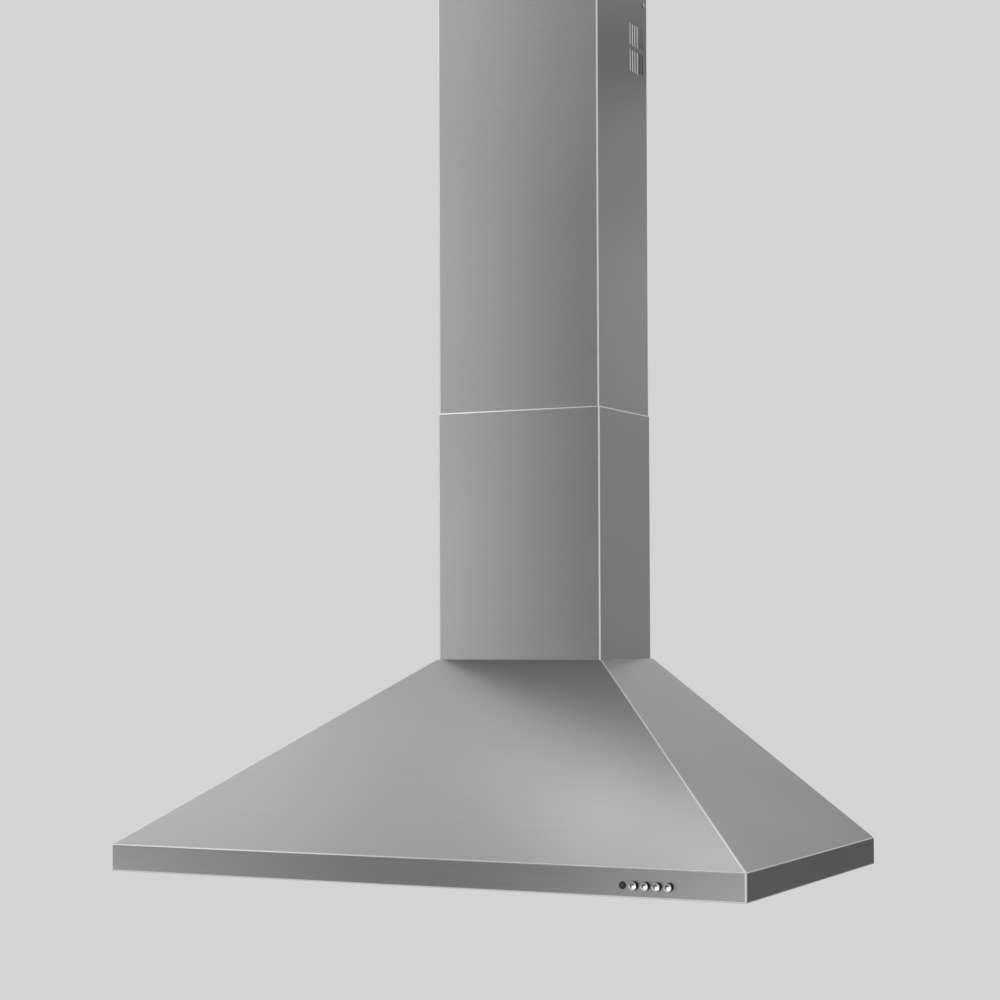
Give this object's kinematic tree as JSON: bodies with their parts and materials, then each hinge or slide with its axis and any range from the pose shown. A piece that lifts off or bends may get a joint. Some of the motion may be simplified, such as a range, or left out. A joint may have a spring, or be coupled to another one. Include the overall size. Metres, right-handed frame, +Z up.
{
  "type": "chimney range hood",
  "caption": "Wall-mounted chimney range hood: pyramid canopy on a low band, telescopic chimney, push buttons, hinged grease filters and a centrifugal blower inside.",
  "frame": {"origin": "on the wall, on the centre line, level with the two keyholes that hang the hood", "axes": "+Z up, +Y into the wall, +X to the right when facing the hood"},
  "size_m": [0.9, 0.507, 1.2243],
  "materials": {
    "brushed_stainless": "fine horizontal brushed grain, bright polished folds",
    "galvanised_steel": "zinc-coated sheet, faint spangle",
    "zinc_plated_steel": "bright zinc plate",
    "aluminium": "mill finish",
    "chrome": "polished",
    "black_plastic": "fine moulded grain",
    "grey_plastic": "fine moulded grain",
    "white_plastic": "smooth moulded",
    "rubber": "matt",
    "opal_lens": "frosted, opal",
    "pilot_lens": "clear moulded lens, unlit"
  },
  "bodies": {
    "canopy": {"canopy_shell": "brushed_stainless", "back_panel": "galvanised_steel", "underside_panel": "brushed_stainless", "mounting_plate": "galvanised_steel", "lower_chimney": "brushed_stainless", "ceiling_bracket": "galvanised_steel", "switch_box": "black_plastic", "pilot_bezel": "black_plastic", "pilot_lens": "pilot_lens", "lamp_trim_left": "brushed_stainless", "lamp_trim_right": "brushed_stainless", "lamp_lens_left": "opal_lens", "lamp_lens_right": "opal_lens", "lamp_body_left": "aluminium", "lamp_body_right": "aluminium", "scroll_half_left": "galvanised_steel", "scroll_half_right": "galvanised_steel", "outlet_collar": "black_plastic", "flap_pin": "zinc_plated_steel", "motor_body": "galvanised_steel", "motor_bracket": "galvanised_steel", "capacitor": "white_plastic", "electrics_box": "black_plastic", "electrics_lid": "black_plastic", "cable_gland": "black_plastic", "cable_grommet": "rubber", "wiring_loom": "black_plastic", "scroll_screw_front": "zinc_plated_steel", "scroll_screw_bottom": "zinc_plated_steel", "top_screw_1": "zinc_plated_steel", "top_screw_2": "zinc_plated_steel", "top_screw_3": "zinc_plated_steel", "top_screw_4": "zinc_plated_steel", "collar_screw_1": "zinc_plated_steel", "collar_screw_2": "zinc_plated_steel", "collar_screw_3": "zinc_plated_steel", "collar_screw_4": "zinc_plated_steel"},
    "upper_chimney": {"upper_chimney": "brushed_stainless", "bracket_screw_left": "zinc_plated_steel", "bracket_screw_right": "zinc_plated_steel"},
    "impeller": {"impeller": "galvanised_steel", "motor_shaft": "zinc_plated_steel"},
    "flap_front": {"flap_front": "grey_plastic"},
    "flap_rear": {"flap_rear": "grey_plastic"},
    "button_1": {"button_1": "chrome"},
    "button_2": {"button_2": "chrome"},
    "button_3": {"button_3": "chrome"},
    "button_4": {"button_4": "chrome"},
    "filter_left": {"filter_frame_left": "aluminium", "filter_mesh_left": "aluminium", "latch_housing_left": "grey_plastic"},
    "filter_middle": {"filter_frame_middle": "aluminium", "filter_mesh_middle": "aluminium", "latch_housing_middle": "grey_plastic"},
    "filter_right": {"filter_frame_right": "aluminium", "filter_mesh_right": "aluminium", "latch_housing_right": "grey_plastic"},
    "latch_left": {"latch_slider_left": "grey_plastic"},
    "latch_middle": {"latch_slider_middle": "grey_plastic"},
    "latch_right": {"latch_slider_right": "grey_plastic"}
  },
  "joints": [
    {"name": "chimney_slide", "type": "slide", "parent": "canopy", "child": "upper_chimney", "axis": [0, 0, 1], "range_m": [-0.285, 0]},
    {"name": "impeller_spin", "type": "hinge", "parent": "canopy", "child": "impeller", "pos_m": [0, -0.152, 0.0344], "axis": [1, 0, 0], "continuous": true},
    {"name": "flap_front_hinge", "type": "hinge", "parent": "canopy", "child": "flap_front", "pos_m": [0, -0.0835, 0.17175], "axis": [-1, 0, 0], "range_deg": [0, 75]},
    {"name": "flap_rear_hinge", "type": "hinge", "parent": "canopy", "child": "flap_rear", "pos_m": [0, -0.0835, 0.17175], "axis": [1, 0, 0], "range_deg": [0, 75]},
    {"name": "button_1_press", "type": "slide", "parent": "canopy", "child": "button_1", "axis": [0, 1, 0], "range_m": [0, 0.0035], "stiffness_N_per_m": 400, "springref_m": -0.002},
    {"name": "button_2_press", "type": "slide", "parent": "canopy", "child": "button_2", "axis": [0, 1, 0], "range_m": [0, 0.0035], "stiffness_N_per_m": 400, "springref_m": -0.002},
    {"name": "button_3_press", "type": "slide", "parent": "canopy", "child": "button_3", "axis": [0, 1, 0], "range_m": [0, 0.0035], "stiffness_N_per_m": 400, "springref_m": -0.002},
    {"name": "button_4_press", "type": "slide", "parent": "canopy", "child": "button_4", "axis": [0, 1, 0], "range_m": [0, 0.0035], "stiffness_N_per_m": 400, "springref_m": -0.002},
    {"name": "filter_left_hinge", "type": "hinge", "parent": "canopy", "child": "filter_left", "pos_m": [-0.262, -0.06, -0.1125], "axis": [1, 0, 0], "range_deg": [0, 45]},
    {"name": "filter_middle_hinge", "type": "hinge", "parent": "canopy", "child": "filter_middle", "pos_m": [0, -0.06, -0.1125], "axis": [1, 0, 0], "range_deg": [0, 45]},
    {"name": "filter_right_hinge", "type": "hinge", "parent": "canopy", "child": "filter_right", "pos_m": [0.262, -0.06, -0.1125], "axis": [1, 0, 0], "range_deg": [0, 45]},
    {"name": "latch_left_slide", "type": "slide", "parent": "filter_left", "child": "latch_left", "axis": [0, 1, 0], "range_m": [0, 0.0055], "stiffness_N_per_m": 600, "springref_m": -0.002},
    {"name": "latch_middle_slide", "type": "slide", "parent": "filter_middle", "child": "latch_middle", "axis": [0, 1, 0], "range_m": [0, 0.0055], "stiffness_N_per_m": 600, "springref_m": -0.002},
    {"name": "latch_right_slide", "type": "slide", "parent": "filter_right", "child": "latch_right", "axis": [0, 1, 0], "range_m": [0, 0.0055], "stiffness_N_per_m": 600, "springref_m": -0.002}
  ]
}
